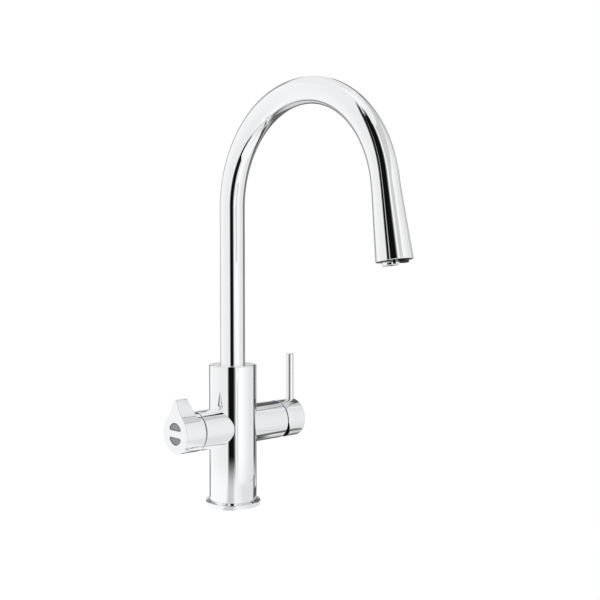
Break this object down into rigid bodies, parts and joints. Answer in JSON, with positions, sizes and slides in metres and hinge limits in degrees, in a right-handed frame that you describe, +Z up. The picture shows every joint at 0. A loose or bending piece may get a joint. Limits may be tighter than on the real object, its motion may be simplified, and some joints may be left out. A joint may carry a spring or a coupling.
{
  "type": "boiling water tap",
  "caption": "Kitchen tap with a swivelling gooseneck spout, a tilting side mixer lever and a turning selector knob with push buttons for filtered hot and cold water.",
  "frame": {"origin": "centre of the tap's underside, where it stands on the worktop, on the column's axis", "axes": "+Z up along the column, -Y towards the spout's outlet (the user's side), +X towards the mixer, -X towards the selector"},
  "size_m": [0.1538, 0.2618, 0.4173],
  "materials": {
    "chrome": "polished",
    "brass": "machined",
    "steel": "plain",
    "ceramic": "lapped",
    "black_plastic": "moulded",
    "pale_plastic": "moulded",
    "grey_plastic": "moulded",
    "board": "coated",
    "rubber": "moulded",
    "blue_enamel": "glossy",
    "red_enamel": "glossy"
  },
  "bodies": {
    "tap": {"tap_body": "chrome", "base_flange": "chrome", "base_seal": "rubber", "base_plug": "brass", "core_screw_left": "steel", "core_screw_right": "steel", "waterway_core": "brass", "cold_mark": "blue_enamel", "hot_mark": "red_enamel", "mixer_port_gasket": "rubber", "mixer_cartridge_base": "black_plastic", "mixer_fixed_disc": "ceramic", "mixer_cartridge_housing": "pale_plastic", "mixer_cartridge_nut": "black_plastic", "selector_port_gasket": "rubber", "selector_valve_base": "black_plastic", "selector_fixed_disc": "ceramic", "selector_valve_housing": "brass", "selector_valve_nut": "brass", "lower_swivel_bush": "pale_plastic", "upper_swivel_bush": "pale_plastic", "swivel_stop_screw": "steel", "filtered_tube_oring": "rubber"},
    "spout": {"spout_tube": "chrome", "spout_foot": "brass", "lower_spout_oring": "rubber", "upper_spout_oring": "rubber", "spout_retaining_clip": "steel", "filtered_water_tube": "pale_plastic", "outlet_plate": "black_plastic", "aerator_shell": "chrome", "aerator_insert": "grey_plastic", "aerator_seal": "rubber", "filtered_nozzle": "rubber"},
    "knob": {"selector_knob": "chrome", "knob_hub": "brass", "knob_grub_screw": "steel", "button_switch_plate": "board", "selector_spindle": "brass", "selector_moving_disc": "ceramic", "hot_button_spring": "steel", "cold_button_spring": "steel"},
    "hot_push": {"hot_button": "grey_plastic"},
    "cold_push": {"cold_button": "grey_plastic"},
    "mixer_carrier": {"mixer_turn_carrier": "black_plastic", "mixer_tilt_pin": "steel"},
    "mixer_lever": {"mixer_stem": "brass", "mixer_cap": "chrome", "mixer_lever_pin": "chrome", "mixer_grub_screw": "steel"},
    "mixer_disc": {"mixer_disc_slider": "pale_plastic", "mixer_moving_disc": "ceramic"}
  },
  "joints": [
    {"name": "spout_swivel", "type": "hinge", "parent": "tap", "child": "spout", "pos_m": [0, 0, 0.14], "axis": [0, 0, 1], "range_deg": [-90, 90]},
    {"name": "selector_turn", "type": "hinge", "parent": "tap", "child": "knob", "pos_m": [-0.058, 0, 0.08035], "axis": [1, 0, 0], "range_deg": [-45, 45]},
    {"name": "hot_button_press", "type": "slide", "parent": "knob", "child": "hot_push", "axis": [1, 0, 0], "range_m": [0, 0.0015], "stiffness_N_per_m": 900, "springref_m": -0.0012, "deforming": ["hot_button_spring"]},
    {"name": "cold_button_press", "type": "slide", "parent": "knob", "child": "cold_push", "axis": [1, 0, 0], "range_m": [0, 0.0015], "stiffness_N_per_m": 900, "springref_m": -0.0012, "deforming": ["cold_button_spring"]},
    {"name": "mixer_turn", "type": "hinge", "parent": "tap", "child": "mixer_carrier", "pos_m": [0.052, 0, 0.08035], "axis": [1, 0, 0], "range_deg": [-45, 45]},
    {"name": "mixer_tilt", "type": "hinge", "parent": "mixer_carrier", "child": "mixer_lever", "pos_m": [0.052, 0, 0.08035], "axis": [0, 1, 0], "range_deg": [0, 20]},
    {"name": "disc_slide", "type": "slide", "parent": "mixer_carrier", "child": "mixer_disc", "axis": [0, 0, 1], "range_m": [0, 0.0062]}
  ],
  "couplings": [
    {"joint": "disc_slide", "follows": "mixer_tilt", "m_per_rad": 0.01764}
  ]
}
